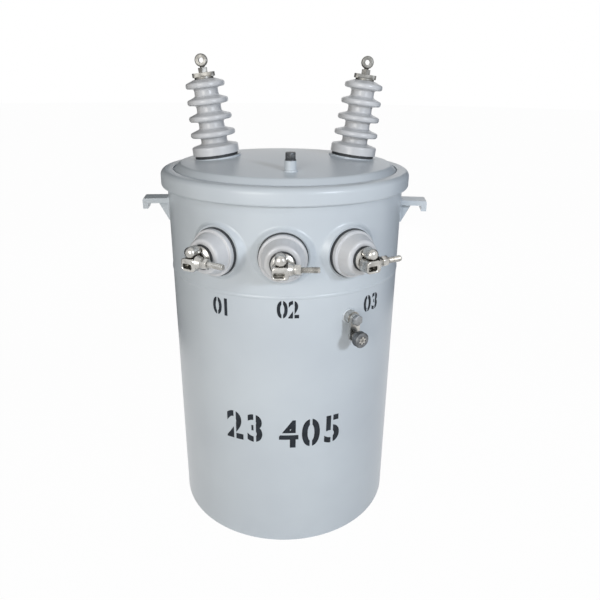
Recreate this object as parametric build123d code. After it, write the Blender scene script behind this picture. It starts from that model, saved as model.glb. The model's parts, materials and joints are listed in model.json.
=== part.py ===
"""Pole mounted distribution transformer: round steel tank, clamped domed cover,
two cover bushings for the high voltage, three side bushings for the low voltage.

Millimetres, +Z up, origin at the centre of the tank's underside, low voltage
bushings facing -Y, pole brackets on +Y. Azimuths are in degrees from -Y towards +X.
"""
import math
import os

from build123d import *

# Tank
tank_radius = 240.0
tank_height = 744.0
tank_wall = 3.0
bottom_thickness = 5.0
rim_width = 8.0
rim_depth = 13.5
flare_run = 4.0
flare_height = 16.0
oil_clearance = 2.0
oil_drop = 98.0

# Cover, its gasket and the clamping band
cover_thickness = 3.0
cover_gasket_thickness = 9.5
cover_gasket_width = 6.5
cover_flange_inset = 4.0
dome_inset = 26.0
dome_rise = 15.0
shoulder_height = 13.5
shoulder_run = 13.0
shoulder_edge = 8.0
band_overhang = 12.0
band_thickness = 3.0
band_clearance = 0.3
band_corner = 9.0
band_azimuth = 135.0
band_gap = 16.0
band_ear_thickness = 5.0
band_ear_reach = 30.0
band_ear_height = 24.0
band_ear_corner = 8.0
band_bolt_diameter = 12.0
band_bolt_flats = 18.0
band_bolt_head = 7.0
band_bolt_end = 6.0

# Filler neck on the cover
fill_inset = 72.0
fill_shift = 11.5
fill_neck_diameter = 21.5
fill_neck_height = 18.5
fill_plug_flats = 18.0
fill_plug_height = 12.5
fill_plug_collar = 2.0
fill_plug_chamfer = 1.5

# High voltage bushings on the cover
hv_left_azimuth = -88.0
hv_right_azimuth = 98.0
hv_inset = 100.0
hv_tilt = 7.2
hv_seat_radius = 49.0
hv_seat_lift = 1.0
hv_gasket_radius = 43.0
hv_gasket_thickness = 5.5
hv_bore = 14.0
hv_collar_radius = 46.5
hv_collar_height = 16.0
hv_collar_slope = 5.0
hv_collar_edge = 4.0
hv_shed_count = 4
hv_first_shed_height = 44.5
hv_shed_pitch = 30.6
hv_lowest_shed_radius = 44.5
hv_highest_shed_radius = 38.0
hv_lowest_neck_radius = 27.0
hv_highest_neck_radius = 22.5
hv_crown_radius = 21.0
hv_crown_rise = 11.0
hv_crown_edge = 2.5

# Shed profile as shares of the pitch from shed to shed
hv_shed_edge_share = 0.15
hv_shed_upper_share = 0.2
hv_shed_lower_share = 0.06
hv_shed_rim_share = 0.15
hv_shed_root_share = 0.14

# Caps and eye terminals of the high voltage bushings
hv_cap_radius = 18.5
hv_cap_height = 3.5
hv_wing_length = 44.0
hv_wing_width = 15.0
hv_wing_thickness = 8.0
hv_nut_flats = 16.0
hv_nut_height = 9.0
hv_stud_diameter = 9.0
hv_stud_length = 1.2
hv_eye_radius = 12.0
hv_eye_width = 13.0
hv_eye_edge = 3.0
hv_eye_bore = 10.0

# Low voltage bushings on the tank wall
lv_count = 3
lv_drop = 105.0
lv_seat_gap = 6.5
lv_seat_lift = 5.0
lv_seat_radius = 48.0
lv_seat_run = 10.0
lv_seat_depth = 12.0
lv_seat_blend = 6.0
lv_bore = 27.0
lv_gasket_radius = 44.5
lv_gasket_thickness = 5.5
lv_collar_radius = 43.0
lv_collar_height = 9.0
lv_collar_edge = 2.5
lv_waist_radius = 38.5
lv_waist_blend = 2.0
lv_nose_radius = 31.0
lv_nose_height = 34.0
lv_nose_edge = 6.0
lv_spigot_radius = 26.0
lv_spigot_length = 10.0

# Clamp terminals of the low voltage bushings
lv_seal_radius = 22.5
lv_seal_thickness = 2.5
lv_flange_radius = 20.5
lv_flange_thickness = 5.0
lv_stem_radius = 14.0
lv_stem_length = 3.0
lv_block_width = 27.0
lv_block_height = 42.0
lv_block_depth = 26.0
lv_block_lift = 4.0
lv_block_shift = -2.5
lv_block_hood = 11.0
lv_block_edge = 4.0
lv_block_front_edge = 5.0
lv_wire_bore = 14.0
lv_wire_depth = 20.0
lv_wire_drop = 2.0
lv_boss_root_radius = 12.5
lv_boss_tip_radius = 8.5
lv_boss_length = 8.0
lv_clamp_diameter = 11.0
lv_clamp_reach = 31.0
lv_clamp_nut_flats = 17.0
lv_clamp_nut_height = 12.0

# Lifting lugs
lug_azimuth = 84.0
lug_drop = 27.0
lug_reach = 51.0
lug_width = 44.0
lug_thickness = 10.0
lug_corner = 4.0
lug_lip_height = 21.0
lug_gusset_thickness = 8.0
lug_gusset_height = 38.0
lug_gusset_reach = 21.0
lug_gusset_toe = 3.0

# Pole brackets on the back
hanger_drop = 128.0
hanger_spacing = 286.0
hanger_standoff = 58.0
hanger_width = 96.0
hanger_height = 92.0
hanger_plate = 6.0
hanger_bend = 12.0
hanger_bolt_slot = 18.0
hanger_slot_rise = 23.0
hanger_keyhole_drop = 23.0
hanger_keyhole_diameter = 38.0

# Tank earthing connector
ground_drop = 126.0
ground_shift = 6.0
ground_boss_radius = 13.0
ground_boss_lift = 15.0
ground_strap_width = 22.0
ground_strap_length = 45.5
ground_strap_thickness = 6.0
ground_bolt_diameter = 10.0
ground_bolt_flats = 19.0
ground_bolt_head = 9.0
ground_neck_radius = 8.0
ground_neck_length = 14.0
ground_knob_radius = 13.0
ground_knob_length = 11.0
ground_knob_edge = 2.0

# Fits
clearance = 0.5
overrun = 2.0

# Tank and cover, from the sizes above
rim_radius = tank_radius + rim_width
rim_base = tank_height - rim_depth
flare_base = rim_base - flare_height
gasket_top = tank_height + cover_gasket_thickness
flange_top = gasket_top + cover_thickness
flange_radius = rim_radius - cover_flange_inset
dome_radius = tank_radius - dome_inset
dome_base = flange_top + shoulder_height
dome_apex = dome_base + dome_rise
dome_sphere = (dome_radius ** 2 + dome_rise ** 2) / (2 * dome_rise)
dome_centre = dome_apex - dome_sphere
shoulder_radius = dome_radius + shoulder_run
band_radius = tank_radius + band_overhang
band_top = flange_top + band_clearance + band_thickness
band_base = rim_base - band_clearance - band_thickness

# Places of the fittings, from the sizes above
hv_offset = tank_radius - hv_inset
hv_body_height = hv_first_shed_height + (hv_shed_count - 1) * hv_shed_pitch + hv_crown_rise
hv_cap_top = hv_body_height + hv_cap_height + hv_wing_thickness + hv_nut_height
hv_eye_height = hv_cap_top + hv_stud_length + hv_eye_radius
lv_height = tank_height - lv_drop
lv_seat = tank_radius + lv_seat_lift
lv_seat_slope = lv_seat_run / lv_seat_depth
lv_seat_span = lv_seat_radius + lv_seat_slope * lv_seat
lv_slope_square = 1 + lv_seat_slope ** 2
lv_seat_root = math.sqrt(lv_slope_square * tank_radius ** 2 - lv_seat_span ** 2)
lv_foot_radius = (lv_seat_span - lv_seat_slope * lv_seat_root) / lv_slope_square
lv_foot_turn = 2 * math.asin(lv_foot_radius / tank_radius)
lv_azimuth_step = math.degrees(lv_foot_turn + lv_seat_gap / tank_radius)
lv_terminal_base = lv_gasket_thickness + lv_nose_height + lv_seal_thickness
lv_block_base = lv_terminal_base + lv_flange_thickness + lv_stem_length
oil_level = lv_height - oil_drop
lug_top = band_base - lug_drop
hanger_face = tank_radius + hanger_standoff
hanger_upper_height = tank_height - hanger_drop
hanger_lower_height = hanger_upper_height - hanger_spacing
ground_azimuth = lv_azimuth_step + math.degrees(ground_shift / tank_radius)
ground_height = lv_height - ground_drop


STANDING = (Align.CENTER, Align.CENTER, Align.MIN)
HANGING = (Align.CENTER, Align.CENTER, Align.MAX)
SIDES = {"left": -1, "right": 1}
HV_AZIMUTHS = {"left": hv_left_azimuth, "right": hv_right_azimuth}


def at(radius, height):
    """Point of a turned profile, in the XZ plane."""
    return Vector(radius, 0, height)


def section(*runs):
    """Flat face inside a closed loop of lines and arcs."""
    return make_face([edge for run in runs for edge in run.edges()])


def turned(*runs):
    """Solid of revolution about Z from a closed loop in the XZ plane."""
    return revolve(section(*runs), axis=Axis.Z)


def ring(outer, inner, thickness):
    """Flat ring standing on the XY plane."""
    disc = Cylinder(outer, thickness, align=STANDING)
    return disc - Cylinder(inner, thickness, align=STANDING)


def hexagon(across_flats, height):
    """Hexagonal prism standing on the XY plane."""
    return extrude(RegularPolygon(across_flats / 2, 6, major_radius=False), height)


def facing(azimuth, distance, height):
    """Place on the tank's side: local Z points outwards, Y up, X to the right."""
    turn = math.radians(azimuth)
    outward = Vector(math.sin(turn), -math.cos(turn), 0)
    along = Vector(math.cos(turn), math.sin(turn), 0)
    origin = outward * distance + Vector(0, 0, height)
    return Plane(origin=origin, x_dir=along, z_dir=outward).location


def off_the_wall(fitting):
    """Fitting cut back to the tank's round wall."""
    return fitting - Cylinder(tank_radius, tank_height, align=STANDING)


def dome_height(radius, lift=0):
    """Height of the dome, or of a surface parallel to it, at a distance from the axis."""
    return dome_centre + math.sqrt((dome_sphere + lift) ** 2 - radius ** 2)


def dome_place(azimuth):
    """Seat of a cover bushing on the dome: local Z leans outwards by the bushing's tilt."""
    turn = math.radians(azimuth)
    tilt = math.radians(hv_tilt)
    outward = Vector(math.sin(turn), -math.cos(turn), 0)
    origin = outward * hv_offset + Vector(0, 0, dome_height(hv_offset, hv_seat_lift))
    axis = outward * math.sin(tilt) + Vector(0, 0, math.cos(tilt))
    return Plane(origin=origin, x_dir=Vector(0, -1, 0), z_dir=axis).location


def tank_body(inset=0):
    """Solid of the tank's inside or outside, with the wall flared out to the rim."""
    wall = tank_radius - inset
    flared = wall + flare_run
    return turned(
        Polyline(at(0, bottom_thickness), at(wall, bottom_thickness), at(wall, flare_base)),
        TangentArc(at(wall, flare_base), at(flared, rim_base), tangent=Vector(0, 0, 1)),
        Polyline(at(flared, rim_base), at(flared, tank_height), at(0, tank_height)),
        Line(at(0, tank_height), at(0, bottom_thickness)),
    )


def lv_seat_cone(inset=0):
    """Sloped seat of a side bushing, wider towards the tank."""
    root = lv_seat_radius + 2 * lv_seat_run - inset
    return Pos(0, 0, -inset) * Cone(root, lv_seat_radius - inset, 2 * lv_seat_depth, align=HANGING)


def lv_places():
    """Seats of the side bushings, from left to right."""
    middle = (lv_count - 1) / 2
    return [facing((i - middle) * lv_azimuth_step, lv_seat, lv_height) for i in range(lv_count)]


def make_tank_shell():
    """Rolled wall with a flared rim and three pressed seats for the side bushings."""
    outside = tank_body()
    inside = tank_body(tank_wall)
    for place in lv_places():
        outside += place * lv_seat_cone()
        inside += place * lv_seat_cone(tank_wall)
    feet = [edge for edge in outside.edges() if edge.geom_type not in (GeomType.CIRCLE, GeomType.LINE)]
    outside = fillet(feet, lv_seat_blend)
    rim = Pos(0, 0, rim_base) * ring(rim_radius, tank_radius, rim_depth)
    shell = outside + rim - inside
    for place in lv_places():
        shell -= place * Cylinder(lv_bore, 2 * lv_seat_depth)
    return shell


def make_tank_bottom():
    """Plate that closes the tank below."""
    return Cylinder(tank_radius, bottom_thickness, align=STANDING)


def make_core_and_oil():
    """Core, windings and oil, lumped as one filling up to the oil level."""
    radius = tank_radius - tank_wall - oil_clearance
    filling = Cylinder(radius, oil_level - bottom_thickness, align=STANDING)
    return Pos(0, 0, bottom_thickness) * filling


def make_cover():
    """Domed plate with a shoulder, a flat flange and two raised bushing seats."""
    inner_sphere = dome_sphere - cover_thickness
    inner_edge = dome_radius - cover_thickness
    inner_base = dome_centre + math.sqrt(inner_sphere ** 2 - inner_edge ** 2)
    inner_apex = dome_apex - cover_thickness
    half = dome_radius / 2
    cover = turned(
        ThreePointArc(at(0, dome_apex), at(half, dome_height(half)), at(dome_radius, dome_base)),
        Polyline(
            at(dome_radius, dome_base),
            at(shoulder_radius, flange_top),
            at(flange_radius, flange_top),
            at(flange_radius, gasket_top),
            at(shoulder_radius - cover_thickness, gasket_top),
            at(inner_edge, inner_base),
        ),
        ThreePointArc(
            at(inner_edge, inner_base), at(half, dome_height(half, -cover_thickness)), at(0, inner_apex)
        ),
        Line(at(0, inner_apex), at(0, dome_apex)),
    )
    circles = cover.edges().filter_by(GeomType.CIRCLE)
    crease = [edge for edge in circles if math.isclose(edge.radius, dome_radius)]
    cover = fillet(crease, shoulder_edge)
    inside = Pos(0, 0, dome_centre) * Sphere(inner_sphere)
    for azimuth in HV_AZIMUTHS.values():
        place = dome_place(azimuth)
        cover += place * Cylinder(hv_seat_radius, hv_seat_radius, align=HANGING) - inside
        cover -= place * Cylinder(hv_bore, 2 * hv_bore)
    return cover


def make_cover_gasket():
    """Rubber ring between the rim and the cover's flange."""
    seal = ring(rim_radius - clearance, rim_radius - clearance - cover_gasket_width, cover_gasket_thickness)
    return Pos(0, 0, tank_height) * seal


def band_place():
    """Place of the band's split: local Z points outwards from the channel's inside."""
    return facing(band_azimuth, band_radius - band_thickness, (band_base + band_top) / 2)


def band_bolt_axis():
    """Axis of the band's bolt in the frame of the split."""
    return Pos(0, 0, band_thickness + band_ear_reach / 2) * Rot(0, 90, 0)


def make_cover_band():
    """Channel ring that clamps cover, gasket and rim, split between two bolted ears."""
    inner = band_radius - band_thickness
    low_lip = tank_radius + flare_run + clearance
    high_lip = shoulder_radius + clearance
    corners = [
        at(high_lip, band_top),
        at(band_radius, band_top),
        at(band_radius, band_base),
        at(low_lip, band_base),
        at(low_lip, band_base + band_thickness),
        at(inner, band_base + band_thickness),
        at(inner, band_top - band_thickness),
        at(high_lip, band_top - band_thickness),
    ]
    roundings = [0, band_corner, band_thickness / 2, 0, 0, 0, band_corner - band_thickness, 0]
    channel = turned(FilletPolyline(*corners, radius=roundings, close=True))
    reach = band_thickness + band_ear_reach
    height = band_top - band_base + overrun
    channel -= band_place() * Box(band_gap, height, 2 * (band_radius - shoulder_radius))
    ear = Box(band_ear_thickness, band_ear_height, reach, align=STANDING)
    ear = fillet(ear.edges().filter_by(Axis.X).sort_by(Axis.Z)[-2:], band_ear_corner)
    for side in SIDES.values():
        channel += band_place() * Pos(side * (band_gap + band_ear_thickness) / 2, 0, 0) * ear
    hole = Cylinder(band_bolt_diameter / 2 + clearance, 2 * reach)
    return channel - band_place() * band_bolt_axis() * hole


def make_band_bolt():
    """Bolt through both ears, with its head on one side and its nut on the other."""
    half_grip = band_gap / 2 + band_ear_thickness
    tail = half_grip + band_bolt_head + band_bolt_end
    bolt = Pos(0, 0, -tail) * Cylinder(band_bolt_diameter / 2, tail + half_grip, align=STANDING)
    head = hexagon(band_bolt_flats, band_bolt_head)
    bolt += Pos(0, 0, half_grip) * head
    bolt += Pos(0, 0, -half_grip - band_bolt_head) * head
    return band_place() * band_bolt_axis() * bolt


def fill_place():
    """Point of the filler neck on the dome."""
    y = fill_inset - tank_radius
    return Pos(fill_shift, y, dome_height(math.hypot(fill_shift, y)))


def make_fill_neck():
    """Short pipe stub welded upright on the dome."""
    pipe = Cylinder(fill_neck_diameter / 2, fill_neck_height + fill_neck_diameter, align=STANDING)
    pipe = fill_place() * Pos(0, 0, -fill_neck_diameter) * pipe
    return pipe - Pos(0, 0, dome_centre) * Sphere(dome_sphere)


def make_fill_plug():
    """Hexagonal plug on a thin collar, screwed down on the neck."""
    collar = Cylinder(fill_neck_diameter / 2 - clearance, fill_plug_collar, align=STANDING)
    head = hexagon(fill_plug_flats, fill_plug_height)
    head = chamfer(head.faces().sort_by(Axis.Z)[-1].edges(), fill_plug_chamfer)
    return fill_place() * Pos(0, 0, fill_neck_height) * (collar + Pos(0, 0, fill_plug_collar) * head)


def make_hv_gasket(azimuth):
    """Rubber ring under a cover bushing."""
    return dome_place(azimuth) * ring(hv_gasket_radius, hv_bore, hv_gasket_thickness)


def hv_neck_radius(height):
    """Radius of the porcelain between its sheds, which tapers upwards."""
    share = (height - hv_gasket_thickness) / (hv_body_height - hv_gasket_thickness)
    return hv_lowest_neck_radius + share * (hv_highest_neck_radius - hv_lowest_neck_radius)


def make_hv_bushing(azimuth):
    """Glazed porcelain with a collar and rounded sheds that grow towards the cover."""
    base = hv_gasket_thickness
    collar_top = base + hv_collar_height
    foot = collar_top + hv_collar_slope
    edge = hv_shed_edge_share * hv_shed_pitch
    rim = hv_shed_rim_share * hv_shed_pitch
    root = hv_shed_root_share * hv_shed_pitch
    taper = (hv_lowest_shed_radius - hv_highest_shed_radius) / (hv_shed_count - 1)
    points = [at(0, base), at(hv_collar_radius, base), at(hv_collar_radius, collar_top)]
    points.append(at(hv_neck_radius(foot), foot))
    radii = [0, hv_collar_edge, root]
    for i in range(hv_shed_count):
        middle = hv_first_shed_height + i * hv_shed_pitch
        radius = hv_lowest_shed_radius - i * taper
        under = middle - edge - hv_shed_lower_share * hv_shed_pitch
        over = middle + edge + hv_shed_upper_share * hv_shed_pitch
        points += [at(hv_neck_radius(under), under), at(radius, middle - edge), at(radius, middle + edge)]
        radii += [root, rim, rim]
        if i < hv_shed_count - 1:
            points.append(at(hv_neck_radius(over), over))
            radii.append(root)
    points += [at(hv_crown_radius, hv_body_height), at(0, hv_body_height)]
    radii.append(hv_crown_edge)
    axis = Line(at(0, hv_body_height), at(0, base))
    return dome_place(azimuth) * turned(FilletPolyline(*points, radius=radii), axis)


def make_hv_cap(azimuth):
    """Tinned cap on the porcelain: washer, clamp bar with two round wings, nut."""
    washer = Cylinder(hv_cap_radius, hv_cap_height, align=STANDING)
    bar = extrude(SlotOverall(hv_wing_length, hv_wing_width), hv_wing_thickness)
    bar = Pos(0, 0, hv_cap_height) * Rot(0, 0, 90) * bar
    nut = Pos(0, 0, hv_cap_height + hv_wing_thickness) * hexagon(hv_nut_flats, hv_nut_height)
    return dome_place(azimuth) * Pos(0, 0, hv_body_height) * (washer + bar + nut)


def make_hv_terminal(azimuth):
    """Eye for the line wire, on a stud that stands on the cap's nut."""
    stud = Pos(0, 0, hv_cap_top) * Cylinder(
        hv_stud_diameter / 2, hv_stud_length + hv_eye_radius, align=STANDING
    )
    eye = Cylinder(hv_eye_radius, hv_eye_width)
    eye = fillet(eye.edges().filter_by(GeomType.CIRCLE), hv_eye_edge)
    across = Pos(0, 0, hv_eye_height) * Rot(0, 90, 0)
    terminal = stud + across * eye - across * Cylinder(hv_eye_bore / 2, 2 * hv_eye_width)
    return dome_place(azimuth) * terminal


def make_lv_gasket(place):
    """Rubber ring between the tank's seat and a side bushing."""
    return place * ring(lv_gasket_radius, lv_bore, lv_gasket_thickness)


def make_lv_bushing(place):
    """Glazed porcelain collar and tapered nose, with a spigot through the tank wall."""
    base = lv_gasket_thickness
    collar_top = base + lv_collar_height
    nose_top = base + lv_nose_height
    outline = FilletPolyline(
        at(0, -lv_spigot_length),
        at(lv_spigot_radius, -lv_spigot_length),
        at(lv_spigot_radius, base),
        at(lv_collar_radius, base),
        at(lv_collar_radius, collar_top),
        at(lv_waist_radius, collar_top),
        at(lv_nose_radius, nose_top),
        at(0, nose_top),
        radius=[0, 0, 0, lv_collar_edge, lv_waist_blend, lv_nose_edge],
    )
    return place * turned(outline, Line(at(0, nose_top), at(0, -lv_spigot_length)))


def make_lv_seal(place):
    """Rubber washer under the terminal's flange."""
    base = lv_gasket_thickness + lv_nose_height
    return place * Pos(0, 0, base) * Cylinder(lv_seal_radius, lv_seal_thickness, align=STANDING)


def lv_clamp_axis():
    """Axis of the clamp screw, to the right across the middle of the wire hole's depth."""
    return Pos(0, -lv_wire_drop, lv_block_base + lv_block_depth / 2) * Rot(0, 90, 0)


def lv_boss_face():
    """Distance from the bushing's axis to the face that the lock nut sits on."""
    return lv_block_shift + lv_block_width / 2 + lv_boss_length


def make_lv_terminal(place):
    """Tinned bronze clamp: flange, stem, hooded block with a wire hole, boss for the screw."""
    flange = Pos(0, 0, lv_terminal_base) * Cylinder(lv_flange_radius, lv_flange_thickness, align=STANDING)
    stem = Pos(0, 0, lv_block_base) * Cylinder(lv_stem_radius, lv_stem_length, align=HANGING)
    half_width = lv_block_width / 2
    half_height = lv_block_height / 2
    outline = FilletPolyline(
        Vector(-half_width, -half_height),
        Vector(half_width, -half_height),
        Vector(half_width, half_height),
        Vector(-half_width, half_height),
        radius=[lv_block_edge, lv_block_edge, lv_block_hood, lv_block_hood],
        close=True,
    )
    block = extrude(section(outline), lv_block_depth)
    block = fillet(block.faces().sort_by(Axis.Z)[-1].edges(), lv_block_front_edge)
    block = Pos(lv_block_shift, lv_block_lift, lv_block_base) * block
    boss = Cone(lv_boss_root_radius, lv_boss_tip_radius, lv_boss_length, align=HANGING)
    boss = lv_clamp_axis() * Pos(0, 0, lv_boss_face()) * boss
    wire = Pos(lv_block_shift, -lv_wire_drop, lv_block_base + lv_block_depth) * Cylinder(
        lv_wire_bore / 2, lv_wire_depth, align=HANGING
    )
    screw_length = lv_boss_face() - lv_block_shift + overrun
    screw_hole = Pos(0, 0, lv_block_shift) * Cylinder(
        lv_clamp_diameter / 2 + clearance, screw_length, align=STANDING
    )
    return place * (flange + stem + block + boss - wire - lv_clamp_axis() * screw_hole)


def make_lv_clamp_screw(place):
    """Clamp screw from the wire hole out to the right, with a lock nut on the boss."""
    tip = lv_block_shift + lv_wire_bore / 2 + clearance
    face = lv_boss_face()
    length = face + lv_clamp_nut_height + lv_clamp_reach - tip
    screw = Pos(0, 0, tip) * Cylinder(lv_clamp_diameter / 2, length, align=STANDING)
    screw += Pos(0, 0, face) * hexagon(lv_clamp_nut_flats, lv_clamp_nut_height)
    return place * lv_clamp_axis() * screw


def make_lifting_lug(side):
    """Bracket for the lifting sling: bent arm with a turned-down lip, over a gusset."""
    bite = -lug_width
    inner = lug_reach - lug_thickness
    bent = FilletPolyline(
        Vector(0, 0, bite),
        Vector(0, 0, lug_reach),
        Vector(0, -lug_lip_height, lug_reach),
        Vector(0, -lug_lip_height, inner),
        Vector(0, -lug_thickness, inner),
        Vector(0, -lug_thickness, bite),
        radius=[0, lug_corner, 0, 0, 0, 0],
        close=True,
    )
    low = -lug_thickness - lug_gusset_height
    gusset = Polyline(
        Vector(0, -lug_thickness, bite),
        Vector(0, -lug_thickness, lug_gusset_reach),
        Vector(0, -lug_thickness - lug_gusset_toe, lug_gusset_reach),
        Vector(0, low, lug_gusset_toe),
        Vector(0, low, bite),
        close=True,
    )
    across = Vector(1, 0, 0)
    lug = extrude(section(bent), lug_width / 2, dir=across, both=True)
    lug += extrude(section(gusset), lug_gusset_thickness / 2, dir=across, both=True)
    return off_the_wall(facing(side * lug_azimuth, tank_radius, lug_top) * lug)


def make_hanger(height, keyhole):
    """Pole bracket: plate bent back to the tank at both sides, with a slot for the pole bolt."""
    half = hanger_width / 2
    inside = half - hanger_plate
    root = -hanger_standoff - half
    bent = FilletPolyline(
        Vector(-half, 0, root),
        Vector(-half, 0, 0),
        Vector(half, 0, 0),
        Vector(half, 0, root),
        Vector(inside, 0, root),
        Vector(inside, 0, -hanger_plate),
        Vector(-inside, 0, -hanger_plate),
        Vector(-inside, 0, root),
        radius=[0, hanger_bend, hanger_bend, 0, 0, hanger_bend - hanger_plate, hanger_bend - hanger_plate, 0],
        close=True,
    )
    bracket = extrude(section(bent), hanger_height / 2, dir=Vector(0, 1, 0), both=True)
    slot_low = -hanger_keyhole_drop if keyhole else -hanger_height / 2 - overrun
    through = 3 * hanger_plate
    slot = Box(hanger_bolt_slot, hanger_slot_rise - slot_low, through)
    slot = Pos(0, (hanger_slot_rise + slot_low) / 2, 0) * slot
    slot += Pos(0, hanger_slot_rise, 0) * Cylinder(hanger_bolt_slot / 2, through)
    if keyhole:
        slot += Pos(0, slot_low, 0) * Cylinder(hanger_keyhole_diameter / 2, through)
    return off_the_wall(facing(180, hanger_face, height) * (bracket - slot))


def ground_place(lift=0):
    """Centre of the earthing boss, at a distance from the tank wall."""
    return facing(ground_azimuth, tank_radius + lift, ground_height)


def make_ground_boss():
    """Threaded steel pad welded on the tank."""
    boss = Cylinder(ground_boss_radius, ground_boss_radius + ground_boss_lift, align=HANGING)
    return off_the_wall(ground_place(ground_boss_lift) * boss)


def make_ground_clamp():
    """Bronze connector: strap held on the boss, with a round eye at its lower end."""
    half = ground_strap_width / 2
    strap = extrude(SlotCenterToCenter(ground_strap_length - half, ground_strap_width), ground_strap_thickness)
    strap = Pos(0, (half - ground_strap_length) / 2, 0) * Rot(0, 0, 90) * strap
    strap -= Cylinder(ground_bolt_diameter / 2 + clearance, 3 * ground_strap_thickness)
    return ground_place(ground_boss_lift) * strap


def make_ground_bolt():
    """Bolt that holds the connector on the boss."""
    bolt = Cylinder(ground_bolt_diameter / 2, ground_strap_thickness, align=STANDING)
    bolt += Pos(0, 0, ground_strap_thickness) * hexagon(ground_bolt_flats, ground_bolt_head)
    return ground_place(ground_boss_lift) * bolt


def make_ground_screw():
    """Clamping screw for the earth wire at the strap's lower end: neck and round knob."""
    neck = Cylinder(ground_neck_radius, ground_neck_length, align=STANDING)
    knob = Cylinder(ground_knob_radius, ground_knob_length, align=STANDING)
    knob = fillet(knob.edges().filter_by(GeomType.CIRCLE), ground_knob_edge)
    low = ground_strap_width / 2 - ground_strap_length
    place = ground_place(ground_boss_lift + ground_strap_thickness) * Pos(0, low, 0)
    return place * (neck + Pos(0, 0, ground_neck_length) * knob)


def all_parts():
    """Every node of the assembly with its solid."""
    parts = {
        "tank_shell": make_tank_shell(),
        "tank_bottom": make_tank_bottom(),
        "core_and_oil": make_core_and_oil(),
        "cover": make_cover(),
        "cover_gasket": make_cover_gasket(),
        "cover_band": make_cover_band(),
        "band_bolt": make_band_bolt(),
        "fill_neck": make_fill_neck(),
        "fill_plug": make_fill_plug(),
        "hanger_upper": make_hanger(hanger_upper_height, True),
        "hanger_lower": make_hanger(hanger_lower_height, False),
        "ground_boss": make_ground_boss(),
        "ground_clamp": make_ground_clamp(),
        "ground_bolt": make_ground_bolt(),
        "ground_screw": make_ground_screw(),
    }
    for name, side in SIDES.items():
        parts[f"hv_gasket_{name}"] = make_hv_gasket(HV_AZIMUTHS[name])
        parts[f"hv_bushing_{name}"] = make_hv_bushing(HV_AZIMUTHS[name])
        parts[f"hv_cap_{name}"] = make_hv_cap(HV_AZIMUTHS[name])
        parts[f"hv_terminal_{name}"] = make_hv_terminal(HV_AZIMUTHS[name])
        parts[f"lifting_lug_{name}"] = make_lifting_lug(side)
    for number, place in enumerate(lv_places(), start=1):
        parts[f"lv_gasket_{number}"] = make_lv_gasket(place)
        parts[f"lv_bushing_{number}"] = make_lv_bushing(place)
        parts[f"lv_seal_{number}"] = make_lv_seal(place)
        parts[f"lv_terminal_{number}"] = make_lv_terminal(place)
        parts[f"lv_clamp_screw_{number}"] = make_lv_clamp_screw(place)
    return parts


os.makedirs("parts", exist_ok=True)
for node, solid in all_parts().items():
    export_step(solid, f"parts/{node}.step")
    print(node, round(solid.volume / 1000, 1), "cm3")
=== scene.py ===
import json
import math

import bmesh
import bpy
from mathutils import Matrix, Vector


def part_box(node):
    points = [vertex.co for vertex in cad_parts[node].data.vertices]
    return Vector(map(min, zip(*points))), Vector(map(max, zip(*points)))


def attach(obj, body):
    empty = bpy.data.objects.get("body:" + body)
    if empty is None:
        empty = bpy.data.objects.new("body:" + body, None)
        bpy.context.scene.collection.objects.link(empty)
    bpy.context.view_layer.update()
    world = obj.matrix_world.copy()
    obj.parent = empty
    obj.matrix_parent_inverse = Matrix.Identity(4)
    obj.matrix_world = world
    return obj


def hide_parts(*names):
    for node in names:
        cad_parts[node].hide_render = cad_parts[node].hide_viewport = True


# %% [markdown]
# # A pole mounted transformer
# A pole mounted transformer is a painted steel can full of oil. Two tall porcelain bushings on
# its cover take the high voltage line, three short ones on its side give the low voltage.
# The solids come from the CAD model. This lesson gives them their finishes, adds what a CAD
# model leaves out, such as welds, threads and stencil marks, and then photographs the result.

# %% Load the CAD model
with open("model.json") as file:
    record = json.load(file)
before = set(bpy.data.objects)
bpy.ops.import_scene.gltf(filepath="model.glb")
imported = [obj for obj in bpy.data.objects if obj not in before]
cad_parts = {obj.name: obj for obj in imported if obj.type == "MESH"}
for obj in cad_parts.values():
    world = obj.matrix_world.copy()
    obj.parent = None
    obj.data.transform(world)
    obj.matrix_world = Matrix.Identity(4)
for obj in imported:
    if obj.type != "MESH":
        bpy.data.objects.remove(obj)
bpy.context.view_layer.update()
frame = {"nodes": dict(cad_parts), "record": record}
nodes = frame["nodes"]
record = frame["record"]

# %% [markdown]
# ## Tools for finishes
# A paint shop mixes by eye, so colours are written as sRGB hex values and turned to the linear
# values that shaders expect. One function adds a shader node with its settings, its colour stops
# and its links, so a material reads as a list of nodes. Pattern sizes are given in millimetres.

# %% Colour and node helpers
MM = 0.001


def srgb(code):
    """Linear colour of an sRGB hex code."""
    channels = [int(code[i:i + 2], 16) / 255 for i in (0, 2, 4)]
    linear = [c / 12.92 if c <= 0.04045 else ((c + 0.055) / 1.055) ** 2.4 for c in channels]
    return (*linear, 1.0)


def per_metre(size_mm):
    """Texture scale that gives features of a size in millimetres."""
    return 1 / (size_mm * MM)


def add(tree, kind, inputs=None, stops=(), **settings):
    """Add one shader node, set its properties, sockets and colour stops, and link its inputs."""
    node = tree.nodes.new(kind)
    for name, value in settings.items():
        if name in node.bl_rna.properties:
            setattr(node, name, value)
        else:
            node.inputs[name.replace("_", " ")].default_value = value
    for index, (position, code) in enumerate(stops):
        stop = node.color_ramp.elements[index]
        stop.position = position
        stop.color = srgb(code)
    for name, source in (inputs or {}).items():
        if isinstance(source, bpy.types.NodeSocket):
            tree.links.new(source, node.inputs[name])
        else:
            node.inputs[name].default_value = source
    return node


def new_material(name):
    """Empty material with its output node, ready for a surface."""
    material = bpy.data.materials.new(name)
    material.use_nodes = True
    material.node_tree.nodes.clear()
    tree = material.node_tree
    return material, tree, add(tree, "ShaderNodeOutputMaterial")


print("one metre holds", per_metre(250), "features of 250 mm")

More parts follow.
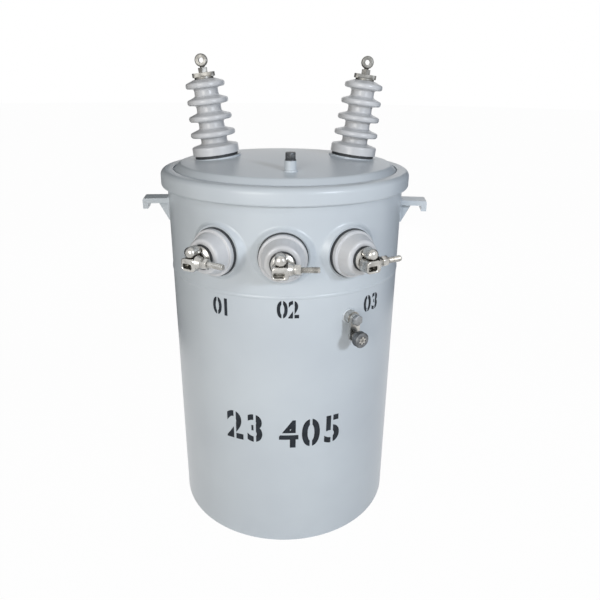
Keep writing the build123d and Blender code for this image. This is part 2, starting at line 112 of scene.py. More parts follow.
# %% [markdown]
# ## Tank paint
# The tank, cover, band and brackets wear one light grey enamel, sprayed and baked. Sprayed
# enamel is never quite flat: it has a fine orange peel, and its gloss drifts a little from
# place to place. A picture of paint could show that, but it would have seams on a round tank.
# Noise in space has none: one of a few millimetres gives the peel, a slow one gives the drift.

# %% Baked grey enamel
def grey_enamel():
    """Baked enamel on steel: even light grey, semi-gloss, with a faint orange peel."""
    material, tree, output = new_material("baked_grey_enamel")
    place = add(tree, "ShaderNodeTexCoord").outputs["Object"]
    drift = add(tree, "ShaderNodeTexNoise", {"Vector": place}, Scale=per_metre(180), Detail=3.0)
    colour = add(
        tree, "ShaderNodeValToRGB", {"Fac": drift.outputs["Fac"]}, ((0.3, "C1C8CE"), (0.7, "C9D0D5"))
    )
    gloss = add(
        tree, "ShaderNodeMapRange", {"Value": drift.outputs["Fac"]},
        From_Min=0.3, From_Max=0.7, To_Min=0.285, To_Max=0.35,
    )
    peel = add(tree, "ShaderNodeTexNoise", {"Vector": place}, Scale=per_metre(6), Detail=1.0)
    bump = add(tree, "ShaderNodeBump", {"Height": peel.outputs["Fac"]}, Strength=0.08, Distance=0.3 * MM)
    surface = add(
        tree, "ShaderNodeBsdfPrincipled",
        {"Base Color": colour.outputs["Color"], "Roughness": gloss.outputs["Result"],
         "Normal": bump.outputs["Normal"]},
        IOR=1.45,
    )
    tree.links.new(surface.outputs["BSDF"], output.inputs["Surface"])
    return material


enamel = grey_enamel()
print("made", enamel.name)

# %% [markdown]
# ## Porcelain
# Bushings are turned from wet-process porcelain and dipped in a sky grey glaze before firing.
# The glaze is smooth, and it pools and thins a little, which shows as a slow change of tone.
# Under the sheds the tone darkens in the corners: this is painted shade, together with a little dust where
# rain can't reach. It could be painted on by hand, but an ambient occlusion node finds every such corner by
# itself.

# %% Sky grey glazed porcelain
def sky_glaze():
    """Fired glaze: smooth and glassy, sky grey, a little uneven in tone."""
    material, tree, output = new_material("sky_grey_glazed_porcelain")
    place = add(tree, "ShaderNodeTexCoord").outputs["Object"]
    cloud = add(tree, "ShaderNodeTexNoise", {"Vector": place}, Scale=per_metre(45), Detail=4.0)
    colour = add(
        tree, "ShaderNodeValToRGB", {"Fac": cloud.outputs["Fac"]}, ((0.3, "C8C9CB"), (0.7, "D1D2D4"))
    )
    # Painted shade: ambient occlusion darkens the glaze towards A3A3A1 in the corners below the sheds, with
    # a little dust.
    open_air = add(tree, "ShaderNodeAmbientOcclusion", samples=8, Distance=14 * MM)
    dust_and_shade = add(
        tree, "ShaderNodeValToRGB", {"Fac": open_air.outputs["AO"]}, ((0.3, "A3A3A1"), (0.8, "FFFFFF"))
    )
    dusty_and_shaded = add(
        tree, "ShaderNodeMix", {0: 1.0, 6: colour.outputs["Color"], 7: dust_and_shade.outputs["Color"]},
        data_type="RGBA", blend_type="MULTIPLY",
    )
    ripple = add(tree, "ShaderNodeTexNoise", {"Vector": place}, Scale=per_metre(14), Detail=0.0)
    bump = add(tree, "ShaderNodeBump", {"Height": ripple.outputs["Fac"]}, Strength=0.05, Distance=0.4 * MM)
    surface = add(
        tree, "ShaderNodeBsdfPrincipled",
        {"Base Color": dusty_and_shaded.outputs[2], "Normal": bump.outputs["Normal"]},
        Roughness=0.3, IOR=1.5,
    )
    tree.links.new(surface.outputs["BSDF"], output.inputs["Surface"])
    return material


glaze = sky_glaze()
print("made", glaze.name)

# %% [markdown]
# ## Gasket rubber
# Nitrile rubber gaskets are cut from black sheet. Rubber has almost no shine and a fine talcum
# bloom. Plain black would look like a hole in the picture, so the colour is a very dark grey,
# the roughness is high, and one fine noise gives both the bloom and the grain.

# %% Black nitrile rubber
def nitrile_rubber():
    """Cut sheet rubber: black, matt, with a faint grey bloom."""
    material, tree, output = new_material("black_nitrile_rubber")
    place = add(tree, "ShaderNodeTexCoord").outputs["Object"]
    bloom = add(tree, "ShaderNodeTexNoise", {"Vector": place}, Scale=per_metre(5), Detail=5.0)
    colour = add(
        tree, "ShaderNodeValToRGB", {"Fac": bloom.outputs["Fac"]}, ((0.3, "26282B"), (0.7, "3A3D40"))
    )
    bump = add(tree, "ShaderNodeBump", {"Height": bloom.outputs["Fac"]}, Strength=0.2, Distance=0.2 * MM)
    surface = add(
        tree, "ShaderNodeBsdfPrincipled",
        {"Base Color": colour.outputs["Color"], "Normal": bump.outputs["Normal"]},
        Roughness=0.65,
    )
    tree.links.new(surface.outputs["BSDF"], output.inputs["Surface"])
    return material


rubber = nitrile_rubber()
print("made", rubber.name)

# %% [markdown]
# ## Tinned bronze
# The wire clamps are sand cast in bronze and dipped in tin, so that copper and aluminium wires
# both keep good contact. Hot tin leaves a bright, slightly clouded coat over the cast grain.
# The tone darkens where the metal is hemmed in: this is painted shade, with some of the soot and oxide that
# settle where parts meet. The caps and eyes on top stand in the rain and have gone dull, so they are darker
# and rougher.

# %% Hot tinned bronze
def tinned_bronze(name, dark, light, dull, bright):
    """Tin coat on a sand casting: warm grey metal, clouded, darkened in its corners by painted shade and
    soot.
    """
    material, tree, output = new_material(name)
    place = add(tree, "ShaderNodeTexCoord").outputs["Object"]
    cloud = add(tree, "ShaderNodeTexNoise", {"Vector": place}, Scale=per_metre(9), Detail=4.0)
    coat = add(
        tree, "ShaderNodeValToRGB", {"Fac": cloud.outputs["Fac"]}, ((0.3, dark), (0.7, light))
    )
    # Painted shade: ambient occlusion darkens the tin towards 85827C where parts meet, along with some
    # soot.
    open_air = add(tree, "ShaderNodeAmbientOcclusion", samples=8, Distance=4 * MM)
    soot_and_shade = add(
        tree, "ShaderNodeValToRGB", {"Fac": open_air.outputs["AO"]}, ((0.35, "85827C"), (0.85, "FFFFFF"))
    )
    colour = add(
        tree, "ShaderNodeMix", {0: 1.0, 6: coat.outputs["Color"], 7: soot_and_shade.outputs["Color"]},
        data_type="RGBA", blend_type="MULTIPLY",
    )
    gloss = add(
        tree, "ShaderNodeMapRange", {"Value": cloud.outputs["Fac"]},
        From_Min=0.3, From_Max=0.7, To_Min=dull, To_Max=bright,
    )
    grain = add(tree, "ShaderNodeTexNoise", {"Vector": place}, Scale=per_metre(1.6), Detail=2.0)
    bump = add(tree, "ShaderNodeBump", {"Height": grain.outputs["Fac"]}, Strength=0.2, Distance=0.25 * MM)
    surface = add(
        tree, "ShaderNodeBsdfPrincipled",
        {"Base Color": colour.outputs[2], "Roughness": gloss.outputs["Result"],
         "Normal": bump.outputs["Normal"]},
        Metallic=1.0,
    )
    tree.links.new(surface.outputs["BSDF"], output.inputs["Surface"])
    return material


tin = tinned_bronze("hot_tinned_bronze", "A3A19D", "CDCCC8", dull=0.34, bright=0.2)
old_tin = tinned_bronze("weathered_tinned_bronze", "6A6966", "989793", dull=0.55, bright=0.45)
print("made", tin.name, "and", old_tin.name)

# %% [markdown]
# ## Galvanised steel
# Bolts and the earthing screw are steel, dipped in molten zinc. Zinc freezes in crystals, the
# spangle, and weathers to a dull grey. A cell pattern gives each crystal its own tone. The
# filler plug and the finger screw are handled more and darker, so each has its own pair of tones.

# %% Weathered galvanised steel
def weathered_zinc(name, dark, light):
    """Zinc coat on steel: dull grey, with a spangle of small crystals."""
    material, tree, output = new_material(name)
    place = add(tree, "ShaderNodeTexCoord").outputs["Object"]
    spangle = add(tree, "ShaderNodeTexVoronoi", {"Vector": place}, Scale=per_metre(4))
    tone = add(tree, "ShaderNodeSeparateColor", {"Color": spangle.outputs["Color"]})
    colour = add(
        tree, "ShaderNodeValToRGB", {"Fac": tone.outputs["Red"]}, ((0.0, dark), (1.0, light))
    )
    bump = add(tree, "ShaderNodeBump", {"Height": tone.outputs["Red"]}, Strength=0.1, Distance=0.1 * MM)
    surface = add(
        tree, "ShaderNodeBsdfPrincipled",
        {"Base Color": colour.outputs["Color"], "Normal": bump.outputs["Normal"]},
        Metallic=0.9, Roughness=0.42,
    )
    tree.links.new(surface.outputs["BSDF"], output.inputs["Surface"])
    return material


zinc = weathered_zinc("weathered_galvanised_steel", "8A8C8E", "A8AAAB")
plug_zinc = weathered_zinc("handled_galvanised_steel", "434547", "585A5C")
dark_zinc = weathered_zinc("aged_galvanised_steel", "626466", "7C7E80")
print("made", zinc.name, plug_zinc.name, "and", dark_zinc.name)

# %% [markdown]
# ## Oil and core
# The core and coils stand in mineral oil, sealed in the tank. Nobody sees them from outside, so
# clear oil with coils in it would be wasted work. The one solid that stands for them gets the
# amber brown of transformer oil, for anyone who opens the tank in the viewport.

# %% Mineral oil
def mineral_oil():
    """Amber insulating oil, slightly cloudy."""
    material, tree, output = new_material("amber_mineral_oil")
    place = add(tree, "ShaderNodeTexCoord").outputs["Object"]
    cloud = add(tree, "ShaderNodeTexNoise", {"Vector": place}, Scale=per_metre(80), Detail=2.0)
    colour = add(
        tree, "ShaderNodeValToRGB", {"Fac": cloud.outputs["Fac"]}, ((0.3, "8A6A2C"), (0.7, "A07C36"))
    )
    surface = add(
        tree, "ShaderNodeBsdfPrincipled", {"Base Color": colour.outputs["Color"]}, Roughness=0.1, IOR=1.47
    )
    tree.links.new(surface.outputs["BSDF"], output.inputs["Surface"])
    return material


oil = mineral_oil()
print("made", oil.name)

# %% [markdown]
# ## Stencil ink
# Numbers are sprayed through a cut sheet with a blue-black marking ink. It dries matt and a
# little uneven, thinner where the spray can moved faster. One noise between two dark tones is
# enough for that, because the figures themselves are cut as shapes further down.

# %% Marking ink
def marking_ink():
    """Sprayed marking ink: blue-black, matt, blotchy."""
    material, tree, output = new_material("blue_black_marking_ink")
    place = add(tree, "ShaderNodeTexCoord").outputs["Object"]
    blotch = add(tree, "ShaderNodeTexNoise", {"Vector": place}, Scale=per_metre(16), Detail=5.0)
    colour = add(
        tree, "ShaderNodeValToRGB", {"Fac": blotch.outputs["Fac"]}, ((0.3, "12161C"), (0.75, "2A3038"))
    )
    surface = add(
        tree, "ShaderNodeBsdfPrincipled", {"Base Color": colour.outputs["Color"]}, Roughness=0.6,
        Specular_IOR_Level=0.25,
    )
    tree.links.new(surface.outputs["BSDF"], output.inputs["Surface"])
    return material


ink = marking_ink()
print("made", ink.name)

# %% [markdown]
# ## Dress the CAD solids
# The record names a finish slot for every solid. Solids could be dressed one by one, but a table
# of slots is shorter and misses none. They keep their shape and place. The caps and eyes on top
# are duller than the other fittings, and the earthing boss is left bare, because paint would
# spoil its contact.

# %% Materials by slot
finish = {
    "tank_paint": enamel,
    "porcelain": glaze,
    "gasket_rubber": rubber,
    "tinned_bronze": tin,
    "galvanised_steel": zinc,
    "oil_and_core": oil,
}
bare = {name: old_tin for name in nodes if name.startswith(("hv_cap", "hv_terminal"))}
bare["ground_boss"] = tin
for part in record["subparts"]:
    mesh = nodes[part["node"]].data
    mesh.materials.clear()
    mesh.materials.append(bare.get(part["node"], finish[part["material_slot"]]))
print("dressed", len(record["subparts"]), "solids")

# %% [markdown]
# ## Tools for pieces
# New pieces are drawn in millimetres at the origin and then carried to their place, most of
# them on the tank's wall: there X runs to the right, Y up and Z straight out of the wall.
# They could be cut from cubes one by one, but a few shapes come back again and again, so each is
# a small function: a bar with rounded edges, a turned shape, a hexagon, a screw thread and a
# plate with holes. The last function here makes a shape a finished piece.

# %% Places
TANK_RADIUS = 240.0


def around(azimuth, radius, height):
    """Place at the tank's wall in the drawing; azimuth 0 faces the photographer."""
    turn = Matrix.Rotation(azimuth, 4, "Z")
    upright = Matrix.Rotation(math.pi / 2, 4, "X")
    return turn @ Matrix.Translation((0, -radius, height)) @ upright


def on_wall(azimuth, radius, height):
    """The same place in the scene, which is in metres."""
    return Matrix.Scale(MM, 4) @ around(azimuth, radius, height)


def azimuth_of(node):
    """Azimuth of a node's middle around the tank's axis."""
    low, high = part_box(node)
    middle = (low + high) / 2
    return math.atan2(middle.x, -middle.y)


def corners_of(points):
    """Lowest and highest corner of the box around some points."""
    low = Vector([min(point[axis] for point in points) for axis in range(3)])
    high = Vector([max(point[axis] for point in points) for axis in range(3)])
    return low, high


def extent(node, place):
    """Lowest and highest corner of a node, in the axes and millimetres of a place."""
    inverse = place.inverted()
    return corners_of([inverse @ vertex.co for vertex in nodes[node].data.vertices])


print("ground connector at", round(math.degrees(azimuth_of("ground_boss")), 1), "degrees")

# %% Shapes
ALONG_X = Matrix.Rotation(math.pi / 2, 4, "Y")


def soften(shape, edges, radius, segments=3):
    """Round some edges."""
    bmesh.ops.bevel(
        shape, geom=edges, offset=radius, offset_type="OFFSET", segments=segments,
        profile=0.5, affect="EDGES", material=-1, clamp_overlap=True,
    )


def bar(shape, low, high, radius):
    """Add a bar between two corners, with all edges rounded."""
    low, high = Vector(low), Vector(high)
    middle = Matrix.Translation((low + high) / 2) @ Matrix.Diagonal((*(high - low), 1))
    made = bmesh.ops.create_cube(shape, size=1, matrix=middle)
    edges = list({edge for vertex in made["verts"] for edge in vertex.link_edges})
    soften(shape, edges, radius)


def turned(shape, profile, place=Matrix(), steps=64):
    """Add a shape turned on a lathe from points of radius and height."""
    points = [shape.verts.new(place @ Vector((radius, 0, height))) for radius, height in profile]
    lines = [shape.edges.new(pair) for pair in zip(points, points[1:])]
    bmesh.ops.spin(
        shape, geom=points + lines, cent=place.translation, axis=place.to_3x3() @ Vector((0, 0, 1)),
        angle=2 * math.pi, steps=steps, use_merge=True, use_duplicate=False,
    )


def hexagon(shape, flats, low, high, place=Matrix(), chamfer=1.2):
    """Add a hexagonal head or nut with broken edges."""
    middle = place @ Matrix.Translation((0, 0, (low + high) / 2))
    corner = flats / math.sqrt(3)
    made = bmesh.ops.create_cone(
        shape, cap_ends=True, segments=6, radius1=corner, radius2=corner, depth=high - low, matrix=middle
    )
    edges = list({edge for vertex in made["verts"] for edge in vertex.link_edges})
    soften(shape, edges, chamfer, segments=2)


def thread(shape, radius, pitch, low, high, place=Matrix(), steps=28):
    """Add a threaded rod: a core with a chamfered end, and a ridge wound around it."""
    depth = 0.35 * pitch
    core = radius - depth
    turned(shape, [(0, low), (core, low), (core, high - depth), (core - depth, high), (0, high)], place)
    corners = [
        shape.verts.new(place @ Vector((r, 0, low + rise)))
        for r, rise in ((core - 0.2, 0), (radius, 0.5 * pitch), (core - 0.2, pitch))
    ]
    ridge = [shape.edges.new((corners[i], corners[i - 1])) for i in range(3)]
    turns = (high - low - 2 * pitch) / pitch
    axis = place.to_3x3() @ Vector((0, 0, 1))
    bmesh.ops.spin(
        shape, geom=corners + ridge, cent=place.translation, axis=axis, dvec=axis * pitch / steps,
        angle=2 * math.pi * turns, steps=int(steps * turns), use_merge=False, use_duplicate=False,
    )
    bmesh.ops.holes_fill(shape, edges=[edge for edge in shape.edges if edge.is_boundary], sides=3)


print("shapes ready: bar, turned, hexagon, thread")

# %% Outlines with holes
def rounded(corners, radii):
    """Outline with rounded corners, from corner points and one radius each."""
    shape = bmesh.new()
    points = [shape.verts.new((*corner, 0)) for corner in corners]
    shape.faces.new(points)
    for point, radius in zip(points, radii):
        bmesh.ops.bevel(
            shape, geom=[point], offset=radius, offset_type="OFFSET", segments=8, profile=0.5,
            affect="VERTICES", material=-1,
        )
    shape.faces.ensure_lookup_table()
    outline = [loop.vert.co.copy() for loop in shape.faces[0].loops]
    shape.free()
    return outline


def box_outline(left, bottom, right, top, low_radius, top_radius):
    """Outline of a box with rounded corners below and above."""
    corners = [(left, bottom), (right, bottom), (right, top), (left, top)]
    return rounded(corners, [low_radius, low_radius, top_radius, top_radius])


def plate(shape, outlines, low, high, edge, place=Matrix()):
    """Add a plate with rounded edges from an outline and the outlines of its holes."""
    curve = bpy.data.curves.new("plate", "CURVE")
    curve.dimensions = "2D"
    curve.fill_mode = "BOTH"
    curve.extrude = (high - low) / 2 - edge
    curve.bevel_depth = edge
    curve.offset = -edge
    curve.bevel_resolution = 2
    for outline in outlines:
        line = curve.splines.new("POLY")
        line.points.add(len(outline) - 1)
        line.use_cyclic_u = True
        for point, corner in zip(line.points, outline):
            point.co = (corner.x, corner.y, 0, 1)
    holder = bpy.data.objects.new("plate", curve)
    mesh = bpy.data.meshes.new_from_object(holder)
    mesh.transform(place @ Matrix.Translation((0, 0, (low + high) / 2)))
    shape.from_mesh(mesh)
    bpy.data.objects.remove(holder)
    bpy.data.curves.remove(curve)
    bpy.data.meshes.remove(mesh)


print("outline of", len(box_outline(-1, -1, 1, 1, 0.2, 0.4)), "points")

# %% Finished pieces
def new_piece(name, shape, place, slot, stands_for=(), material=None, sharp=32):
    """Carry a shape to its place and make it a piece of the transformer."""
    bmesh.ops.remove_doubles(shape, verts=shape.verts, dist=0.001)
    bmesh.ops.transform(shape, matrix=place, verts=shape.verts)
    bmesh.ops.recalc_face_normals(shape, faces=shape.faces)
    mesh = bpy.data.meshes.new(name)
    shape.to_mesh(mesh)
    shape.free()
    mesh.materials.append(material or finish[slot])
    mesh.shade_smooth()
    mesh.set_sharp_from_angle(angle=math.radians(sharp))
    piece = bpy.data.objects.new(name, mesh)
    bpy.context.scene.collection.objects.link(piece)
    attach(piece, "root")
    if stands_for:
        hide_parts(*stands_for)
    print(name, len(mesh.polygons), "faces")
    return piece


print("finishes for new pieces:", ", ".join(finish))

# %% [markdown]
# ## Seams of the tank
# The shell is rolled from sheet. A hoop seam runs all round below the low voltage bushings, and
# a long seam closes the shell at the back, beside the brackets. Paint covers both, so they show
# only as low rounded ridges. Bump in the paint could fake them, but a true ridge also shows in
# the mesh. The hoop is turned on the lathe, the long seam is a rounded bar.

# %% Hoop seam and long seam
HOOP_HEIGHT = 560.0
SEAM_AZIMUTH = math.radians(152)
SEAM_WIDTH, SEAM_LOW, SEAM_HIGH = 8.0, 12.0, 722.0
SEAM_SUNK, SEAM_PROUD, SEAM_ROUND = 4.0, 1.2, 1.1


def hoop_seam():
    """Low ridge all round the tank."""
    shape = bmesh.new()
    ridge = [(-1.5, -4.2), (0.25, -3.4), (0.95, -1.8), (1.15, 0.0), (0.95, 1.8), (0.25, 3.4), (-1.5, 4.2)]
    ridge.append(ridge[0])
    turned(shape, [(TANK_RADIUS + out, HOOP_HEIGHT + up) for out, up in ridge], steps=180)
    return new_piece("hoop_seam", shape, Matrix.Scale(MM, 4), "tank_paint")


def long_seam():
    """Low upright ridge from the bottom to the rim."""
    shape = bmesh.new()
    half = SEAM_WIDTH / 2
    bar(shape, (-half, SEAM_LOW, -SEAM_SUNK), (half, SEAM_HIGH, SEAM_PROUD), SEAM_ROUND)
    return new_piece("long_seam", shape, on_wall(SEAM_AZIMUTH, TANK_RADIUS, 0), "tank_paint")


hoop_seam()
long_seam()

# %% [markdown]
# ## Clamping band
# A rolled steel channel clamps the cover, its gasket and the tank's rim together. It is split at
# the back, where a bolt draws two ears towards each other. Rolling leaves soft corners, which
# catch the light above and keep a dark line below. A full turn on the lathe would close the
# split, so a section with rounded corners is spun around the tank but for the gap. Plates make
# the ears.

# %% Clamping band
BAND_AZIMUTH = math.radians(135)
BAND_RADIUS, BAND_SHEET, BAND_GAP = 252.0, 3.0, 16.0
UPPER_LIP, LOWER_LIP = 227.5, 244.5
SHOULDER_ROUND, FOOT_ROUND, CUT_EDGE = 11.0, 5.0, 0.8
EAR_SHEET, EAR_HEIGHT, EAR_REACH, EAR_ROUND, EAR_ROOT = 5.0, 24.0, 33.0, 8.0, 1.0
BOLT_RADIUS, BOLT_PITCH, BOLT_FLATS, HEAD_TALL, BOLT_TAIL = 6.0, 1.75, 18.0, 7.0, 13.0
band_base, band_top = [corner.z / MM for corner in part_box("cover_band")]
band_split = (BAND_AZIMUTH, BAND_RADIUS - BAND_SHEET, (band_base + band_top) / 2)


def band_section():
    """Section of the channel, as radius and height."""
    inner = BAND_RADIUS - BAND_SHEET
    points = [
        (UPPER_LIP, band_top), (BAND_RADIUS, band_top), (BAND_RADIUS, band_base), (LOWER_LIP, band_base),
        (LOWER_LIP, band_base + BAND_SHEET), (inner, band_base + BAND_SHEET),
        (inner, band_top - BAND_SHEET), (UPPER_LIP, band_top - BAND_SHEET),
    ]
    outside = [CUT_EDGE, SHOULDER_ROUND, FOOT_ROUND, CUT_EDGE]
    inside = [CUT_EDGE, FOOT_ROUND - BAND_SHEET, SHOULDER_ROUND - BAND_SHEET, CUT_EDGE]
    return rounded(points, outside + inside)


def clamp_band():
    """Channel around the tank with an ear on each side of its gap."""
    shape = bmesh.new()
    half_gap = BAND_GAP / 2 / BAND_RADIUS
    start = Matrix.Rotation(BAND_AZIMUTH - math.pi / 2 + half_gap, 4, "Z")
    section = shape.faces.new([shape.verts.new(start @ Vector((p.x, 0, p.y))) for p in band_section()])
    bmesh.ops.spin(
        shape, geom=[section], cent=(0, 0, 0), axis=(0, 0, 1), angle=2 * (math.pi - half_gap),
        steps=180, use_merge=False, use_duplicate=False,
    )
    half = EAR_HEIGHT / 2
    corners = [(0, -half), (EAR_REACH, -half), (EAR_REACH, half), (0, half)]
    ear = rounded(corners, [EAR_ROOT, EAR_ROUND, EAR_ROUND, EAR_ROOT])
    for side in (-1, 1):
        middle = Matrix.Translation((side * (BAND_GAP + EAR_SHEET) / 2, 0, 0))
        place = around(*band_split) @ middle @ Matrix.Rotation(-math.pi / 2, 4, "Y")
        plate(shape, [ear], -EAR_SHEET / 2, EAR_SHEET / 2, CUT_EDGE, place)
    return new_piece("clamp_band", shape, Matrix.Scale(MM, 4), "tank_paint", ["cover_band"])


def band_bolt():
    """Bolt through both ears, with its head, its nut and a threaded end."""
    shape = bmesh.new()
    out = BAND_SHEET + (EAR_REACH - BAND_SHEET) / 2
    axis = Matrix.Translation((0, 0, out)) @ Matrix.Rotation(-math.pi / 2, 4, "Y")
    grip = BAND_GAP / 2 + EAR_SHEET
    thread(shape, BOLT_RADIUS, BOLT_PITCH, -grip, grip + BOLT_TAIL, axis)
    hexagon(shape, BOLT_FLATS, -grip - HEAD_TALL, -grip, axis)
    hexagon(shape, BOLT_FLATS, grip, grip + HEAD_TALL, axis)
    return new_piece("bolt_and_nut", shape, on_wall(*band_split), "galvanised_steel", ["band_bolt"])


clamp_band()
band_bolt()

# %% [markdown]
# ## Weld beads
# Lugs, brackets, the earthing boss and the filler neck are welded on before painting. A hand
# weld leaves a narrow rounded ridge. It could be sculpted drop by drop, but paint fills the
# drops, so a round bead, half sunk in the wall and under the same paint, seats each part. Beads
# on the wall are curves with a round section, ring welds are turned.

# %% Weld beads
def bead(shape, points, radius=2.6):
    """Add a weld bead along points, as a swept round line with filled ends."""
    curve = bpy.data.curves.new("bead", "CURVE")
    curve.dimensions = "3D"
    curve.bevel_depth = radius
    curve.bevel_resolution = 3
    curve.use_fill_caps = True
    line = curve.splines.new("POLY")
    line.points.add(len(points) - 1)
    for point, corner in zip(line.points, points):
        point.co = (*corner, 1)
    holder = bpy.data.objects.new("bead", curve)
    mesh = bpy.data.meshes.new_from_object(holder)
    shape.from_mesh(mesh)
    bpy.data.objects.remove(holder)
    bpy.data.curves.remove(curve)
    bpy.data.meshes.remove(mesh)


def wall_line(start, end, count=12):
    """Points along a line on the round wall, given as right and up from a place on it."""
    points = []
    for step in range(count + 1):
        right = start[0] + (end[0] - start[0]) * step / count
        up = start[1] + (end[1] - start[1]) * step / count
        turn = right / TANK_RADIUS
        points.append((TANK_RADIUS * math.sin(turn), up, TANK_RADIUS * (math.cos(turn) - 1)))
    return points


def seat_welds(node, lines, azimuth):
    """Piece with the weld beads that hold one node on the wall."""
    shape = bmesh.new()
    place = on_wall(azimuth, TANK_RADIUS, 0)
    for start, end in lines:
        bead(shape, wall_line(start, end))
    return new_piece(f"weld_{node}", shape, place, "tank_paint", sharp=60)


print("a bead runs through", len(wall_line((0, 0), (1, 0))), "points")

# %% Welds of the lugs and brackets
LUG_AZIMUTH = math.radians(84)
ARM_TALL, WEB_HALF = 10.0, 5.0
for side, azimuth in (("left", -LUG_AZIMUTH), ("right", LUG_AZIMUTH)):
    node = f"lifting_lug_{side}"
    low, high = extent(node, on_wall(azimuth, TANK_RADIUS, 0))
    arm = high.y - ARM_TALL
    lines = [((low.x, high.y), (high.x, high.y))]
    lines += [((low.x, arm), (-WEB_HALF, arm)), ((WEB_HALF, arm), (high.x, arm))]
    lines += [((web, low.y), (web, arm)) for web in (-WEB_HALF, WEB_HALF)]
    seat_welds(node, lines, azimuth)
for node in ("hanger_upper", "hanger_lower"):
    low, high = extent(node, on_wall(math.pi, TANK_RADIUS, 0))
    edge = TANK_RADIUS * math.asin(high.x / TANK_RADIUS)
    seat_welds(node, [((-edge, low.y), (-edge, high.y)), ((edge, low.y), (edge, high.y))], math.pi)

# %% Round welds of the earthing boss and the filler neck
ground_azimuth = azimuth_of("ground_boss")
ground_height = (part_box("ground_boss")[0].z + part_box("ground_boss")[1].z) / 2 / MM
ground = on_wall(ground_azimuth, TANK_RADIUS, ground_height)
NECK_WELD_RISE = 1.3


def round_weld(name, radius, place, bead_radius=2.2):
    """Ring of weld around a round foot."""
    shape = bmesh.new()
    section = [
        (radius + bead_radius * math.cos(turn), bead_radius * math.sin(turn))
        for turn in [math.radians(45 * i) for i in range(9)]
    ]
    turned(shape, section, steps=48)
    return new_piece(name, shape, place, "tank_paint", sharp=60)


round_weld("weld_ground_boss", extent("ground_boss", ground)[1].x, ground)
neck_low, neck_high = [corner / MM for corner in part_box("fill_neck")]
neck_middle = (neck_low + neck_high) / 2
neck = Matrix.Scale(MM, 4) @ Matrix.Translation((neck_middle.x, neck_middle.y, neck_low.z + NECK_WELD_RISE))
round_weld("weld_fill_neck", (neck_high.x - neck_low.x) / 2, neck)

# %% [markdown]
# ## Stencil numbers
# Each low voltage bushing has a number below it, and the tank a large one lower down, sprayed
# through stencil sheets. A stencil needs bridges, or the middles of its figures would fall out,
# so every figure but the plain stroke of a one is cut through once. The figures are flat text,
# made mesh, sliced into narrow strips, given the thickness of the ink and bent around the tank.

# %% Stencil figures
INK_PROUD, INK_DEEP = 0.25, 0.6
FIGURE_WIDTH = 0.88


def flat_figure(character, weight):
    """One figure of Blender's own font as a flat mesh."""
    curve = bpy.data.curves.new("figure", "FONT")
    curve.body = character
    curve.offset = weight
    holder = bpy.data.objects.new("figure", curve)
    mesh = bpy.data.meshes.new_from_object(holder)
    flat = bmesh.new()
    flat.from_mesh(mesh)
    bmesh.ops.remove_doubles(flat, verts=flat.verts, dist=1e-5)
    bpy.data.objects.remove(holder)
    bpy.data.curves.remove(curve)
    bpy.data.meshes.remove(mesh)
    return flat


def slice_through(flat, point, across):
    """Cut all faces along a plane."""
    everything = flat.verts[:] + flat.edges[:] + flat.faces[:]
    bmesh.ops.bisect_plane(flat, geom=everything, plane_co=point, plane_no=across)


def cut_bridge(flat, across, half):
    """Take out the strip that a bridge of the stencil leaves bare."""
    for edge in (-half, half):
        slice_through(flat, across * edge, across)
    strip = [face for face in flat.faces if abs(face.calc_center_median().dot(across)) < half]
    bmesh.ops.delete(flat, geom=strip, context="FACES")


print("ink stands", INK_PROUD, "mm proud of the paint")

# %% Rows of figures
SMALL_TALL, LARGE_TALL = 34.5, 64.0
BRIDGE_SHARE, STRIPS = 0.04, 16


def figure(shape, character, middle, up, tall, weight):
    """Add one figure: sized, cut by its bridge, sliced for bending and as thick as the ink."""
    flat = flat_figure(character, weight)
    low, high = corners_of([vertex.co for vertex in flat.verts])
    size = tall / (high.y - low.y)
    bmesh.ops.translate(flat, vec=-(low + high) / 2, verts=flat.verts)
    bmesh.ops.scale(flat, vec=(FIGURE_WIDTH * size, size, 1), verts=flat.verts)
    if character != "1":
        cut_bridge(flat, Vector((0, 1, 0) if character == "4" else (1, 0, 0)), BRIDGE_SHARE * tall)
    for strip in range(-6, 7):
        slice_through(flat, (strip * tall / STRIPS, 0, 0), (1, 0, 0))
    bmesh.ops.translate(flat, vec=(middle, up, -INK_DEEP), verts=flat.verts)
    made = bmesh.ops.extrude_face_region(flat, geom=flat.faces[:])
    raised = [item for item in made["geom"] if isinstance(item, bmesh.types.BMVert)]
    bmesh.ops.translate(flat, vec=(0, 0, INK_DEEP + INK_PROUD), verts=raised)
    mesh = bpy.data.meshes.new("figure")
    flat.to_mesh(mesh)
    flat.free()
    shape.from_mesh(mesh)
    bpy.data.meshes.remove(mesh)


def stencil(name, text, azimuth, height, tall, pitch, weight=0.028):
    """Row of stencil figures bent around the tank."""
    shape = bmesh.new()
    start = -(len(text) - 1) / 2 * pitch
    for place, character in enumerate(text):
        figure(shape, character, start + place * pitch, height, tall, weight)
    for vertex in shape.verts:
        turn = math.radians(azimuth) + vertex.co.x / TANK_RADIUS
        out = TANK_RADIUS + vertex.co.z
        vertex.co = (out * math.sin(turn), -out * math.cos(turn), vertex.co.y)
    return new_piece(name, shape, Matrix.Scale(MM, 4), "tank_paint", material=ink)


stencil("stencil_left", "01", azimuth=-28.8, height=532, tall=SMALL_TALL, pitch=19)
stencil("stencil_middle", "02", azimuth=2.1, height=538, tall=SMALL_TALL, pitch=21)
stencil("stencil_right", "03", azimuth=44.7, height=527, tall=SMALL_TALL, pitch=22)
stencil("stencil_large_left", "23", azimuth=-18.8, height=279, tall=LARGE_TALL, pitch=43)
stencil("stencil_large_right", "405", azimuth=13.4, height=270, tall=LARGE_TALL, pitch=45)

# %% [markdown]
# ## Low voltage clamps
# Each low voltage stud ends in a cast clamp. The domed end of the stud shows on top. Below it
# a jaw with rounded edges has a slot for the wire, and a clamp screw comes in from the right,
# through a boss and a lock nut. A boolean could cut the slot, but it leaves sharp edges where a
# casting has round ones. So the jaw is a flat outline with a hole, drawn as a curve and extruded
# with a rounded edge. The rest is turned or built from rounded bars.

